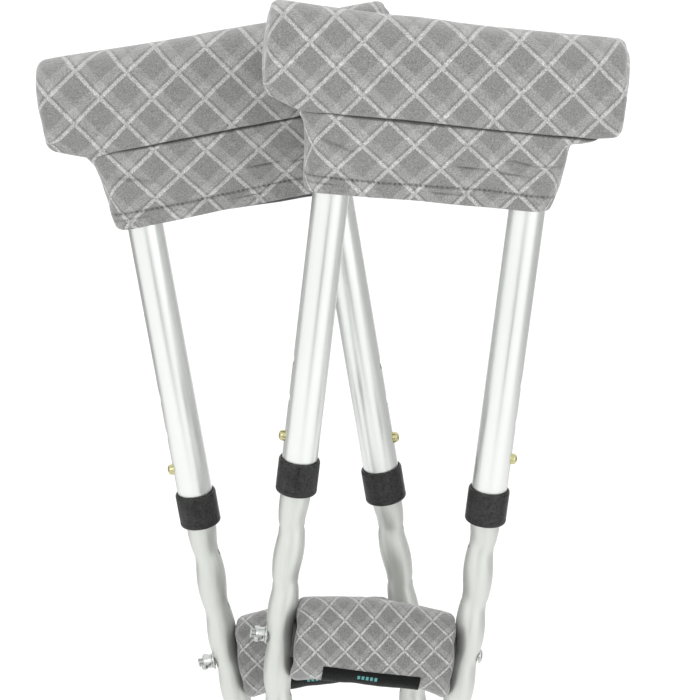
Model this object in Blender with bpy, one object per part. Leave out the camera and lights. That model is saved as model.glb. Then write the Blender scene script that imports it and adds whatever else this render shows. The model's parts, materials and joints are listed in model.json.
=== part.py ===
"""A pair of aluminium underarm crutches that stand crossed, one in front of the other.

Each crutch is modelled in its own frame: the origin is where the crutch's middle line crosses the
axis of the hand grip's bolt, +Z runs up the crutch to the underarm pad, +X runs across the two
bows, and -Y is the crutch's front. An empty for each crutch leans that frame to one side and
stands its rubber tip on the floor, z = 0. All sizes are in metres.
"""

import math

import bmesh
import bpy
from mathutils import Matrix, Vector

# Fits
GAP = 0.0003  # between pieces that touch
SLIDING_GAP = 0.000325  # between telescoping tubes, on the radius

# Tubes: 7/8 in outside, 3/4 in inside, and holes at the pitch of 1 in
OUTER_TUBE_R = 0.0111
INNER_TUBE_R = 0.009525
TUBE_WALL = 0.0014
BORE_R = INNER_TUBE_R + SLIDING_GAP
HOLE_PITCH = 0.0254

# Bows: two waved tubes, straight above BEND_TOP and close together below BEND_END
BOW_SPREAD = 0.0594  # from the middle line to a bow's axis at the top
BOW_TOP = 0.165
BOW_END = -0.425
BEND_TOP = 0.060
BEND_END = -0.350
WAVE_PITCH = 0.0381
WAIST_R = 0.00785
WAISTS_ABOVE = 2
WAISTS_BELOW = 2
BORE_BLEND = 0.008  # height over which a bow's bore widens above its waves

# Underarm part
UPPER_TUBE_TOP = 0.352
COLLAR_BOTTOM = 0.0970
COLLAR_LENGTH = 0.0222
COLLAR_LIP = 0.004
COLLAR_R = 0.0129
HEIGHT_BUTTON_Z = 0.1362
HEIGHT_HOLES = 3
YOKE_WIDTH = 0.022
YOKE_HEIGHT = 0.012
YOKE_PLUG_R = 0.0092
YOKE_PLUG_BOTTOM = 0.314
SADDLE_SCREW_Z = 0.333
SCREW_R = 0.002
SCREW_HEAD_R = 0.004
SCREW_HOLE_R = 0.0023
SCREW_LENGTH = 0.0154  # below its head
HEAD_CLEARANCE = 0.0005  # round a screw's head, in the pad
HEAD_POCKET = (-0.003, 0.0023)  # from the tube's face, inwards and outwards

# Underarm pad and its fleece cover
FLEECE = 0.002
ROLL_SIZE = (0.214, 0.056, 0.052)
ROLL_TOP = 0.412
ROLL_EDGE_R = 0.023
ROLL_END_R = 0.008
SKIRT_SIZE = (0.1536, 0.036)
SKIRT_BOTTOM = 0.3055
SKIRT_EDGE_R = 0.0165
PAD_RECESS = 0.003  # how far the pad stops above the cover's hem

# Hand grip
GRIP_COVER_R = 0.028
GRIP_COVER_HALF = 0.0515
GRIP_FOAM_R = 0.0247
GRIP_FOAM_HALF = 0.0474
GRIP_CORE_R = 0.013
BOLT_R = 0.003
BOLT_HOLE_R = 0.0035
BOLT_SEAT = 0.06695  # from the middle line to the underside of the bolt's head
BOLT_END = -0.0775
WASHER_R = 0.0055
WASHER_THICKNESS = 0.0012

# Leg
LEG_TUBE_TOP = -0.345
LEG_TUBE_LENGTH = 0.315
LEG_HOLES = 8
LEG_FIRST_HOLE = 0.012  # from the collar's top to the lowest hole
LEG_HOLES_BELOW = 3  # holes left below the button at rest
LEG_BUTTON_DEPTH = 0.025  # from the extension's top end to its button
RIVET_HEIGHTS = (-0.368, -0.408)
RIVET_R = 0.0028
RIVET_HOLE_R = 0.0034
TIP_BOTTOM = -0.820
TIP_R = 0.0195
TIP_SOLE_R = 0.0185  # of its flat sole
TIP_HEIGHT = 0.048
TIP_FLOOR = 0.011
TIP_WASHER = 0.0015

# Snap buttons
BUTTON_R = 0.0034
BUTTON_HOLE_R = 0.0040
BUTTON_TOP = 0.0146  # from the tube's axis to the dome's top
SPRING_WIDTH = 0.005
SPRING_THICKNESS = 0.0007

# Where a cross hole's cutter starts and ends, from the tube's axis
ONE_WALL = (0.006, 0.014)
BOTH_WALLS = (-0.014, 0.014)

# Each crutch: its name, how far it leans to +X, where its bolt is, and its leg's holes above rest
CRUTCHES = (
    ("front", math.radians(6.4), 0.0152, -0.030, 0),
    ("rear", math.radians(-9.0), -0.0200, 0.030, 1),
)

SIDES = 12
HOLE_SIDES = 8
GRIP_SIDES = 16
EDGE_STEPS = 3
END_STEPS = 2
SHARP_ANGLE = math.radians(35)

# Finish: base colour, roughness, metallic
FINISHES = {
    "satin_aluminium": ((0.80, 0.81, 0.82), 0.25, 1.0),
    "matte_aluminium": ((0.70, 0.71, 0.68), 0.45, 0.8),
    "black_plastic": ((0.03, 0.03, 0.032), 0.40, 0.0),
    "brass": ((0.80, 0.72, 0.42), 0.25, 1.0),
    "steel": ((0.55, 0.55, 0.55), 0.30, 1.0),
    "grey_fleece": ((0.36, 0.36, 0.35), 0.95, 0.0),
    "foam": ((0.22, 0.22, 0.22), 0.90, 0.0),
    "grey_plastic": ((0.30, 0.30, 0.30), 0.50, 0.0),
    "grey_rubber": ((0.16, 0.16, 0.165), 0.80, 0.0),
}


def clear_scene():
    for found in list(bpy.data.objects):
        bpy.data.objects.remove(found)


def make_material(name, colour, roughness, metallic):
    material = bpy.data.materials.new(name)
    material.use_nodes = True
    shader = material.node_tree.nodes["Principled BSDF"]
    shader.inputs["Base Color"].default_value = (*colour, 1)
    shader.inputs["Roughness"].default_value = roughness
    shader.inputs["Metallic"].default_value = metallic


def add_empty(name, parent=None, location=(0, 0, 0)):
    empty = bpy.data.objects.new(name, None)
    empty.parent = parent
    empty.location = location
    bpy.context.scene.collection.objects.link(empty)
    return empty


def add_piece(name, shape, parent, finish, at=(0, 0, 0)):
    """Makes the object from a bmesh whose points are counted from `at`, its own origin."""
    bmesh.ops.recalc_face_normals(shape, faces=shape.faces)
    mesh = bpy.data.meshes.new(name)
    shape.to_mesh(mesh)
    shape.free()
    mesh.shade_smooth()
    mesh.set_sharp_from_angle(angle=SHARP_ANGLE)
    if finish:
        mesh.materials.append(bpy.data.materials[finish])
    piece = bpy.data.objects.new(name, mesh)
    piece.parent = parent
    piece.location = at
    bpy.context.scene.collection.objects.link(piece)
    return piece


def combine(piece, shape, operation="DIFFERENCE"):
    """Cuts the shape from the piece, or joins it on. The shape is in the piece's own frame."""
    number = len(piece.modifiers) + 1
    tool = add_piece(f"{piece.name}_tool_{number}", shape, piece.parent, None, piece.location)
    tool.hide_render = True
    tool.display_type = "WIRE"
    modifier = piece.modifiers.new(f"{operation.lower()}_{number}", "BOOLEAN")
    modifier.operation = operation
    modifier.object = tool


def turned(profile, towards=(0, 0, 1), sides=SIDES):
    """Turns a closed outline of (radius, height) points about the axis `towards`."""
    shape = bmesh.new()
    corners = [shape.verts.new((radius, 0, height)) for radius, height in profile]
    edges = [
        shape.edges.new(pair)
        for pair in zip(corners, corners[1:] + corners[:1])
        if pair[0].co.x > 0 or pair[1].co.x > 0
    ]
    bmesh.ops.spin(
        shape, geom=corners + edges, cent=(0, 0, 0), axis=(0, 0, 1),
        angle=math.tau, steps=sides, use_merge=True,
    )
    bmesh.ops.remove_doubles(shape, verts=shape.verts, dist=1e-6)
    turn = Vector((0, 0, 1)).rotation_difference(Vector(towards)).to_matrix()
    bmesh.ops.rotate(shape, verts=shape.verts, cent=(0, 0, 0), matrix=turn)
    return shape


def pegs(places, radius, reach, towards, sides=HOLE_SIDES):
    """Round bars, one at each place, that run from reach[0] to reach[1] along `towards`."""
    start, end = reach
    shape = bmesh.new()
    direction = Vector(towards)
    turn = Vector((0, 0, 1)).rotation_difference(direction).to_matrix().to_4x4()
    for place in places:
        middle = Vector(place) + direction * (start + end) / 2
        bmesh.ops.create_cone(
            shape, cap_ends=True, segments=sides, radius1=radius, radius2=radius,
            depth=end - start, matrix=Matrix.Translation(middle) @ turn,
        )
    return shape


def rounded_box(size, centre, axis, edge_radius, end_radius=0.0):
    """A box whose edges along `axis` (0, 1 or 2) are rounded, and then, if asked, its two ends."""
    shape = bmesh.new()
    body = list(size)
    body[axis] -= 2 * end_radius
    stretch = Matrix.Diagonal((*body, 1))
    bmesh.ops.create_cube(shape, size=1, matrix=Matrix.Translation(centre) @ stretch)
    along = [
        edge for edge in shape.edges
        if abs(edge.verts[0].co[axis] - edge.verts[1].co[axis]) > body[axis] / 2
    ]
    bmesh.ops.bevel(
        shape, geom=along, offset=edge_radius, offset_type="OFFSET",
        segments=EDGE_STEPS, profile=0.5, affect="EDGES",
    )
    shape.normal_update()
    ends = [face for face in shape.faces if abs(face.normal[axis]) > 0.99]
    for end in ends if end_radius else ():
        inward, outward = 0.0, 0.0
        for step in range(1, END_STEPS + 1):
            angle = math.radians(90) * step / END_STEPS
            next_inward = end_radius * (1 - math.cos(angle))
            next_outward = end_radius * math.sin(angle)
            bmesh.ops.inset_region(
                shape, faces=[end], use_even_offset=True,
                thickness=next_inward - inward, depth=next_outward - outward,
            )
            inward, outward = next_inward, next_outward
    return shape


def extruded(outline, axis, thickness):
    """A closed outline in the XZ plane (axis 1) or the XY plane (axis 2), made into a plate."""
    shape = bmesh.new()
    step = Vector((0, thickness, 0)) if axis == 1 else Vector((0, 0, thickness))
    flat = [(a, 0, b) if axis == 1 else (a, b, 0) for a, b in outline]
    face = shape.faces.new([shape.verts.new(Vector(point) - step / 2) for point in flat])
    pulled = bmesh.ops.extrude_face_region(shape, geom=[face], use_keep_orig=True)
    moved = [item for item in pulled["geom"] if isinstance(item, bmesh.types.BMVert)]
    bmesh.ops.translate(shape, verts=moved, vec=step)
    return shape


def bow_offset(z):
    """How far a bow's axis is from the middle line at the height z: a smooth S-bend."""
    t = min(max((BEND_TOP - z) / (BEND_TOP - BEND_END), 0), 1)
    lowest = INNER_TUBE_R + OUTER_TUBE_R + GAP
    return BOW_SPREAD - (BOW_SPREAD - lowest) * t**3 * (10 - 15 * t + 6 * t**2)


def bow_radius(z):
    """Outside radius of a bow: waists at the wave's pitch, one of them at the grip's bolt."""
    if not -(WAISTS_BELOW + 0.5) * WAVE_PITCH < z < (WAISTS_ABOVE + 0.5) * WAVE_PITCH:
        return INNER_TUBE_R
    depth = math.cos(math.pi * z / WAVE_PITCH) ** 2
    return INNER_TUBE_R - (INNER_TUBE_R - WAIST_R) * depth


def bend_along_bow(shape, side):
    """Moves a straight shape on the Z axis onto the axis of the bow on this side."""
    step = 0.001
    for corner in shape.verts:
        z = corner.co.z
        lean = math.atan2(side * (bow_offset(z + step) - bow_offset(z - step)), 2 * step)
        across = corner.co.x
        corner.co.x = side * bow_offset(z) + across * math.cos(lean)
        corner.co.z = z - across * math.sin(lean)


def bow_outline(extra, top, bottom):
    """(radius, height) points down the waved outside of a bow, `extra` thicker than the tube."""
    wave_step = WAVE_PITCH / 4
    highest, lowest = (2 * WAISTS_ABOVE + 1) * 2, -(2 * WAISTS_BELOW + 1) * 2
    waved = [index * wave_step for index in range(highest, lowest - 1, -1)]
    bend_steps = 8
    lower = [waved[-1] + (BEND_END - waved[-1]) * i / bend_steps for i in range(1, bend_steps + 1)]
    inside = [z for z in waved + lower if bottom < z < top]
    return [(bow_radius(z) + extra, z) for z in [top] + inside + [bottom]]


def waist_heights():
    return [index * WAVE_PITCH for index in range(-WAISTS_BELOW, WAISTS_ABOVE + 1)]


def leg_hole_heights():
    lowest = LEG_TUBE_TOP - LEG_TUBE_LENGTH - COLLAR_LIP + COLLAR_LENGTH + LEG_FIRST_HOLE
    return [lowest + index * HOLE_PITCH for index in range(LEG_HOLES)]


def add_bow(name, parent, side):
    outside = bow_outline(0, BOW_TOP, BOW_END)
    bore = INNER_TUBE_R - TUBE_WALL
    narrow = WAIST_R - TUBE_WALL
    wave_top = (WAISTS_ABOVE + 0.5) * WAVE_PITCH
    inner_heights = [BOW_END + (BEND_TOP - BOW_END) * step / 8 for step in range(9)]
    inside = [(narrow, z) for z in inner_heights]
    inside += [(narrow, wave_top - BORE_BLEND), (bore, wave_top), (bore, BOW_TOP)]
    shape = turned(outside + inside)
    bend_along_bow(shape, side)
    bow = add_piece(name, shape, parent, "matte_aluminium")
    holes = [(side * bow_offset(z), 0, z) for z in waist_heights()]
    combine(bow, pegs(holes, BOLT_HOLE_R, BOTH_WALLS, (1, 0, 0)))
    rivet_holes = [(side * bow_offset(z), 0, z) for z in RIVET_HEIGHTS]
    combine(bow, pegs(rivet_holes, RIVET_HOLE_R, BOTH_WALLS, (1, 0, 0)))
    place = (side * BOW_SPREAD, 0, HEIGHT_BUTTON_Z)
    combine(bow, pegs([place], BUTTON_HOLE_R, ONE_WALL, (side, 0, 0)))


def add_button(name, parent, at, towards):
    """A snap button: a domed stud with a flange that keeps it inside the tube."""
    flange_top = 0.0062
    profile = (
        (0, 0.0052), (0.0042, 0.0052), (0.0042, flange_top), (BUTTON_R, flange_top),
        (BUTTON_R, 0.0128), (0.0026, 0.0140), (0.0013, 0.0145), (0, BUTTON_TOP),
    )
    add_piece(name, turned(profile, towards), parent, "brass", at)


def add_spring(name, parent, at, towards):
    """The clip behind a snap button: a strip bent into a V, one leg under the button's flange."""
    middle = [
        (0.0045, 0.004), (0.0036, -0.022), (0.0018, -0.0268), (-0.0010, -0.0282),
        (-0.0040, -0.0268), (-0.0060, -0.022), (-0.0066, 0.004),
    ]
    half = SPRING_THICKNESS / 2
    one_side, other_side = [], []
    for index, point in enumerate(middle):
        before = Vector(middle[max(index - 1, 0)])
        after = Vector(middle[min(index + 1, len(middle) - 1)])
        run = (after - before).normalized()
        across = Vector((-run.y, run.x)) * half
        one_side.append(tuple(Vector(point) + across))
        other_side.append(tuple(Vector(point) - across))
    shape = extruded(one_side + other_side[::-1], 1, SPRING_WIDTH)
    turn = Matrix.Rotation(math.atan2(towards[1], towards[0]), 3, "Z")
    bmesh.ops.rotate(shape, verts=shape.verts, cent=(0, 0, 0), matrix=turn)
    add_piece(name, shape, parent, "steel", at)


def add_collar(name, parent, at):
    """A moulded ring on the end of an outer tube. Its lip guides the tube inside."""
    top = COLLAR_LENGTH
    fillet = 0.0018
    profile = (
        (BORE_R, 0), (COLLAR_R - fillet, 0), (COLLAR_R - fillet * 0.3, fillet * 0.3),
        (COLLAR_R, fillet), (COLLAR_R, top - 0.001), (COLLAR_R - 0.0006, top),
        (OUTER_TUBE_R + GAP, top), (OUTER_TUBE_R + GAP, COLLAR_LIP), (BORE_R, COLLAR_LIP),
    )
    add_piece(name, turned(profile), parent, "black_plastic", at)


def tube_profile(radius, bore, bottom, top):
    return (radius, top), (radius, bottom), (bore, bottom), (bore, top)


def add_upper_tube(name, parent, side):
    at = (side * BOW_SPREAD, 0, 0)
    bottom = COLLAR_BOTTOM + COLLAR_LIP + GAP
    shape = turned(tube_profile(OUTER_TUBE_R, BORE_R, bottom, UPPER_TUBE_TOP))
    tube = add_piece(name, shape, parent, "satin_aluminium", at)
    heights = [HEIGHT_BUTTON_Z + index * HOLE_PITCH for index in range(HEIGHT_HOLES)]
    holes = [(0, 0, z) for z in heights]
    combine(tube, pegs(holes, BUTTON_HOLE_R, ONE_WALL, (side, 0, 0)))
    combine(tube, pegs([(0, 0, SADDLE_SCREW_Z)], SCREW_HOLE_R, ONE_WALL, (0, -1, 0)))


def add_yoke(prefix, parent):
    """The moulded bar across the tops of the upper tubes, with a plug down into each."""
    bottom = UPPER_TUBE_TOP + GAP
    size = (2 * (BOW_SPREAD + OUTER_TUBE_R), YOKE_WIDTH, YOKE_HEIGHT)
    bar = rounded_box(size, (0, 0, bottom + YOKE_HEIGHT / 2), 2, YOKE_WIDTH / 2 - 0.0002)
    yoke = add_piece(prefix + "saddle_yoke", bar, parent, "grey_plastic")
    feet = [(-BOW_SPREAD, 0, 0), (BOW_SPREAD, 0, 0)]
    plug_reach = (YOKE_PLUG_BOTTOM, bottom + YOKE_HEIGHT / 2)
    plugs = pegs(feet, YOKE_PLUG_R, plug_reach, (0, 0, 1), sides=SIDES)
    combine(yoke, plugs, "UNION")
    pilots = [(x, y, SADDLE_SCREW_Z) for x, y, _ in feet]
    pilot_reach = (OUTER_TUBE_R - SCREW_LENGTH - 0.0015, OUTER_TUBE_R)
    combine(yoke, pegs(pilots, SCREW_HOLE_R, pilot_reach, (0, -1, 0)))


def add_saddle_screw(name, parent, side):
    seat = OUTER_TUBE_R + GAP
    tip = seat - SCREW_LENGTH
    profile = (
        (0, tip), (SCREW_R, tip), (SCREW_R, seat), (SCREW_HEAD_R, seat),
        (0.9 * SCREW_HEAD_R, seat + 0.0010), (0.0018, seat + 0.0016), (0, seat + 0.0016),
    )
    at = (side * BOW_SPREAD, 0, SADDLE_SCREW_Z)
    add_piece(name, turned(profile, (0, -1, 0)), parent, "steel", at)


def roll_shape(inset):
    """The roll under the arm, made smaller by the inset all round."""
    size = [side - 2 * inset for side in ROLL_SIZE]
    centre = (0, 0, ROLL_TOP - ROLL_SIZE[2] / 2)
    return rounded_box(size, centre, 0, ROLL_EDGE_R - inset, ROLL_END_R - inset / 2)


def skirt_shape(inset, bottom):
    """The flat band under the roll, which reaches up into it."""
    top = ROLL_TOP - ROLL_SIZE[2] / 2
    size = (SKIRT_SIZE[0] - 2 * inset, SKIRT_SIZE[1] - 2 * inset, top - bottom)
    return rounded_box(size, (0, 0, (top + bottom) / 2), 2, SKIRT_EDGE_R - inset)


def add_underarm_pad(prefix, parent):
    inset = FLEECE + GAP
    pad = add_piece(prefix + "underarm_pad", roll_shape(inset), parent, "foam")
    combine(pad, skirt_shape(inset, SKIRT_BOTTOM + PAD_RECESS), "UNION")
    feet = [(-BOW_SPREAD, 0, 0), (BOW_SPREAD, 0, 0)]
    slot_middle = UPPER_TUBE_TOP + GAP + YOKE_HEIGHT / 2
    hole_reach = (SKIRT_BOTTOM, slot_middle)
    combine(pad, pegs(feet, OUTER_TUBE_R + GAP, hole_reach, (0, 0, 1), sides=SIDES))
    slot = (
        2 * (BOW_SPREAD + OUTER_TUBE_R + GAP), YOKE_WIDTH + 2 * GAP, YOKE_HEIGHT + 2 * GAP,
    )
    combine(pad, rounded_box(slot, (0, 0, slot_middle), 2, YOKE_WIDTH / 2))
    heads = [(x, y, SADDLE_SCREW_Z) for x, y, _ in feet]
    pocket = tuple(OUTER_TUBE_R + depth for depth in HEAD_POCKET)
    combine(pad, pegs(heads, SCREW_HEAD_R + HEAD_CLEARANCE, pocket, (0, -1, 0)))


def add_underarm_cover(prefix, parent):
    cover = add_piece(prefix + "underarm_cover", roll_shape(0), parent, "grey_fleece")
    combine(cover, skirt_shape(0, SKIRT_BOTTOM), "UNION")
    combine(cover, roll_shape(FLEECE))
    combine(cover, skirt_shape(FLEECE, SKIRT_BOTTOM - 0.01))


def add_underarm_part(prefix, parent):
    for word, side in (("left", -1), ("right", 1)):
        add_upper_tube(f"{prefix}upper_tube_{word}", parent, side)
        add_collar(f"{prefix}collar_{word}", parent, (side * BOW_SPREAD, 0, COLLAR_BOTTOM))
        add_saddle_screw(f"{prefix}saddle_screw_{word}", parent, side)
    add_yoke(prefix, parent)
    add_underarm_pad(prefix, parent)
    add_underarm_cover(prefix, parent)


def add_hand_grip(prefix, parent):
    """A rigid core cradled on the bows' waists, a foam sleeve, and a fleece cover."""
    core = add_piece(
        prefix + "grip_core",
        turned(tube_profile(GRIP_CORE_R, BOLT_HOLE_R, -BOW_SPREAD, BOW_SPREAD), (1, 0, 0)),
        parent, "grey_plastic",
    )
    foam = tube_profile(GRIP_FOAM_R, GRIP_CORE_R + GAP, -GRIP_FOAM_HALF, GRIP_FOAM_HALF)
    foam_sleeve = turned(foam, (1, 0, 0), sides=GRIP_SIDES)
    add_piece(prefix + "grip_foam", foam_sleeve, parent, "foam")
    half = GRIP_COVER_HALF
    bore = GRIP_FOAM_R + GAP
    end_r = bore + 0.0007
    straight = half - (GRIP_COVER_R - end_r)
    fleece = (
        (bore, -half), (end_r, -half), (GRIP_COVER_R, -straight), (GRIP_COVER_R, straight),
        (end_r, half), (bore, half),
    )
    fleece_sleeve = turned(fleece, (1, 0, 0), sides=GRIP_SIDES)
    cover = add_piece(prefix + "grip_cover", fleece_sleeve, parent, "grey_fleece")
    for side in (-1, 1):
        reach = WAVE_PITCH
        outline = bow_outline(GAP, reach, -reach)
        for piece in (core, cover):
            solid = turned([(0, reach)] + outline + [(0, -reach)])
            bend_along_bow(solid, side)
            combine(piece, solid)


def add_grip_bolt(prefix, parent):
    profile = (
        (0, BOLT_END), (BOLT_R - 0.0006, BOLT_END), (BOLT_R, BOLT_END + 0.0006), (BOLT_R, BOLT_SEAT),
        (0.0046, BOLT_SEAT), (0.0044, BOLT_SEAT + 0.0010), (0.0030, BOLT_SEAT + 0.0020),
        (0, BOLT_SEAT + 0.0023),
    )
    add_piece(prefix + "grip_bolt", turned(profile, (1, 0, 0)), parent, "steel")
    washer = turned(tube_profile(WASHER_R, BOLT_HOLE_R, 0, WASHER_THICKNESS), (-1, 0, 0))
    add_piece(prefix + "bolt_washer", washer, parent, "steel", (-BOLT_SEAT, 0, 0))


def add_wing_nut(prefix, parent):
    """Its origin is on the bolt's axis, at the washer. It turns about that axis."""
    at = (-BOLT_SEAT - WASHER_THICKNESS - GAP, 0, 0)
    hub = turned(((BOLT_HOLE_R, 0), (0.0052, 0), (0.0044, 0.006), (BOLT_HOLE_R, 0.006)), (-1, 0, 0))
    nut = add_piece(prefix + "wing_nut", hub, parent, "steel", at)
    for side in (-1, 1):
        wing = [
            (-0.0008, 0.0042), (-0.0042, 0.0122), (-0.0064, 0.0136), (-0.0086, 0.0130),
            (-0.0094, 0.0108), (-0.0086, 0.0084), (-0.0054, 0.0039),
        ]
        outline = [(x, side * y) for x, y in wing]
        combine(nut, extruded(outline, 2, 0.0022), "UNION")


def add_frame(prefix, parent):
    """What stays put when the crutch is adjusted: the bows, the grip and the outer leg tube."""
    for word, side in (("left", -1), ("right", 1)):
        add_bow(f"{prefix}bow_{word}", parent, side)
        at = (side * BOW_SPREAD, 0, HEIGHT_BUTTON_Z)
        add_spring(f"{prefix}height_spring_{word}", parent, at, (side, 0, 0))
    add_hand_grip(prefix, parent)
    add_grip_bolt(prefix, parent)
    leg_bottom = LEG_TUBE_TOP - LEG_TUBE_LENGTH
    outer = turned(tube_profile(OUTER_TUBE_R, BORE_R, leg_bottom, LEG_TUBE_TOP))
    leg_tube = add_piece(prefix + "leg_tube", outer, parent, "matte_aluminium")
    holes = [(0, 0, z) for z in leg_hole_heights()]
    combine(leg_tube, pegs(holes, BUTTON_HOLE_R, ONE_WALL, (0, -1, 0)))
    rivet_holes = [(0, 0, z) for z in RIVET_HEIGHTS]
    combine(leg_tube, pegs(rivet_holes, RIVET_HOLE_R, BOTH_WALLS, (1, 0, 0)))
    add_collar(prefix + "leg_collar", parent, (0, 0, leg_bottom - COLLAR_LIP - GAP))
    seat = OUTER_TUBE_R + 2 * INNER_TUBE_R + 2 * GAP
    half = (
        (RIVET_R, 0), (RIVET_R, seat), (0.0052, seat), (0.0045, seat + 0.0013), (0, seat + 0.0021),
    )
    profile = half[:0:-1] + tuple((radius, -x) for radius, x in half[1:])
    for word, z in zip(("upper", "lower"), RIVET_HEIGHTS):
        rivet = turned(profile, (1, 0, 0))
        add_piece(f"{prefix}leg_rivet_{word}", rivet, parent, "steel", (0, 0, z))


def add_leg(prefix, parent):
    """The inner leg tube with its snap button, and the rubber tip on its end."""
    button_z = leg_hole_heights()[LEG_HOLES_BELOW]
    top = button_z + LEG_BUTTON_DEPTH
    washer_bottom = TIP_BOTTOM + TIP_FLOOR + GAP
    bottom = washer_bottom + TIP_WASHER + GAP
    tube = turned(tube_profile(INNER_TUBE_R, INNER_TUBE_R - TUBE_WALL, bottom, top))
    extension = add_piece(prefix + "leg_extension", tube, parent, "satin_aluminium")
    combine(extension, pegs([(0, 0, button_z)], BUTTON_HOLE_R, ONE_WALL, (0, -1, 0)))
    disc_r = INNER_TUBE_R - GAP
    disc = turned(((0, 0), (disc_r, 0), (disc_r, TIP_WASHER), (0, TIP_WASHER)))
    add_piece(prefix + "tip_washer", disc, parent, "steel", (0, 0, washer_bottom))
    outside = (
        (0, 0), (TIP_SOLE_R, 0), (TIP_R, 0.001), (TIP_R, 0.007), (0.0165, 0.0125),
        (0.0142, 0.018), (0.0136, 0.030), (0.0142, 0.032), (0.0142, 0.036),
        (0.0130, 0.038), (0.0130, TIP_HEIGHT - 0.001), (0.0122, TIP_HEIGHT),
    )
    bore = ((BORE_R, TIP_HEIGHT), (BORE_R, TIP_FLOOR), (0, TIP_FLOOR))
    at = (0, 0, TIP_BOTTOM)
    add_piece(prefix + "rubber_tip", turned(outside + bore), parent, "grey_rubber", at)
    add_spring(prefix + "leg_spring", parent, (0, 0, button_z), (0, -1, 0))


def add_crutch(name, lean, across, depth, holes_up):
    """One crutch. The leg's empty is raised by the holes by which this crutch is set shorter."""
    prefix = name + "_"
    shortened = holes_up * HOLE_PITCH
    height = (-TIP_BOTTOM - shortened) * math.cos(lean) + TIP_SOLE_R * abs(math.sin(lean))
    crutch = add_empty(name + "_crutch", location=(across, depth, height))
    crutch.rotation_euler.y = lean
    add_frame(prefix, crutch)
    add_underarm_part(prefix, add_empty(prefix + "underarm", crutch))
    leg = add_empty(prefix + "leg", crutch, (0, 0, shortened))
    add_leg(prefix, leg)
    add_wing_nut(prefix, crutch)
    for word, side in (("left", -1), ("right", 1)):
        at = (side * BOW_SPREAD, 0, HEIGHT_BUTTON_Z)
        add_button(f"{prefix}height_button_{word}", crutch, at, (side, 0, 0))
    at = (0, 0, leg_hole_heights()[LEG_HOLES_BELOW])
    add_button(prefix + "leg_button", leg, at, (0, -1, 0))
    return crutch


def centre_over_origin(crutches):
    """Moves the pair sideways until its box, which the two underarm rolls span, is centred."""
    bpy.context.view_layer.update()
    covers = [bpy.data.objects[name + "_underarm_cover"] for name, *_ in CRUTCHES]
    reach = [
        (cover.matrix_world @ corner.co).x for cover in covers for corner in cover.data.vertices
    ]
    for crutch in crutches:
        crutch.location.x -= (min(reach) + max(reach)) / 2


def main():
    clear_scene()
    for name, finish in FINISHES.items():
        make_material(name, *finish)
    centre_over_origin([add_crutch(*crutch) for crutch in CRUTCHES])


main()
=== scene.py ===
"""The looks of a pair of crossed aluminium underarm crutches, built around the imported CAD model.

Each crutch is built in its own frame: the origin is where its middle line crosses the axis of the
hand grip's bolt, +Z runs up to the underarm pad, +X runs across the two bows, and -Y is the front.
The CAD says where that frame stands in the world. All sizes are in metres.
"""

import json
from math import atan2, copysign, cos, hypot, pi, radians, sin, tau

import bmesh
import bpy
from mathutils import Matrix, Vector
from mathutils.noise import noise

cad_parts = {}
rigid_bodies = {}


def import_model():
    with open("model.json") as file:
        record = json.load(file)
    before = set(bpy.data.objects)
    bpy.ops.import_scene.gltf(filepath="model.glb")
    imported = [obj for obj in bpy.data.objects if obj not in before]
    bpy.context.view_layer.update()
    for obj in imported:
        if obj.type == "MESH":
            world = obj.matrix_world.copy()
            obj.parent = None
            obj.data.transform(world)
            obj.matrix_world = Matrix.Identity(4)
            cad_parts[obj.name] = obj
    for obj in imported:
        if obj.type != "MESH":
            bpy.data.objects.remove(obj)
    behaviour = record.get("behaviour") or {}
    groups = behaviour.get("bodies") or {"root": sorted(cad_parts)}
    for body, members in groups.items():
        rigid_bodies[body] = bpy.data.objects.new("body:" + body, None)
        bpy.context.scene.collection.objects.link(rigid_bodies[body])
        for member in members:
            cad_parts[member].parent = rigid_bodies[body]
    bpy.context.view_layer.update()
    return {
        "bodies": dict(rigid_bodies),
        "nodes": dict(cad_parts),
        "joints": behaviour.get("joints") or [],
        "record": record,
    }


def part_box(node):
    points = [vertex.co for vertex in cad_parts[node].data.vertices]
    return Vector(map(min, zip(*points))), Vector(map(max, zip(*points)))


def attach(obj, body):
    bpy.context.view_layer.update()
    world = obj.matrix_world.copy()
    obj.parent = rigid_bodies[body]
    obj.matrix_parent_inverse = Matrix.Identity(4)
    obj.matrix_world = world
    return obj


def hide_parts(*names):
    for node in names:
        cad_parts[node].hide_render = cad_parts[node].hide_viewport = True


UP, RIGHT, LEFT, FORWARD = (0, 0, 1), (1, 0, 0), (-1, 0, 0), (0, -1, 0)
SIDES = 72
FINE_SIDES = 96
MEDIUM_SIDES = 64
SMALL_SIDES = 48
SHARP_ANGLE = radians(32)
FLOOR_Z = -0.120

# Sizes that are shared with the CAD
GAP = 0.0003
OUTER_R = 0.0111
INNER_R = 0.009525
WALL = 0.0014
BORE_R = INNER_R + 0.000325
HOLE_PITCH = 0.0254
SPREAD = 0.0594
BOW_TOP = 0.165
BOW_END = -0.425
BEND_TOP = 0.060
BEND_END = -0.350
WAVE_PITCH = 0.0381
WAVE_END = 2.5 * WAVE_PITCH
WAIST_R = 0.00785
WAISTS = (-2, -1, 0, 1, 2)
UPPER_TUBE_TOP = 0.352
COLLAR_BOTTOM = 0.0970
COLLAR_LENGTH = 0.0222
COLLAR_LIP = 0.004
COLLAR_R = 0.0129
BUTTON_Z = 0.1362
BUTTON_HOLE_R = 0.0040
BOLT_HOLE_R = 0.0031
BOLT_SEAT = 0.06695
BOLT_END = -0.0775
WASHER_THICKNESS = 0.0012
LEG_TOP = -0.345
LEG_BOTTOM = -0.660
LEG_HOLES = 8
LEG_HOLES_BELOW = 3
LEG_FIRST_HOLE = 0.012
LEG_BUTTON_DEPTH = 0.025
LEG_HOLES_UP = {"front": 0, "rear": 1}
RIVET_HEIGHTS = (-0.368, -0.408)
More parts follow.
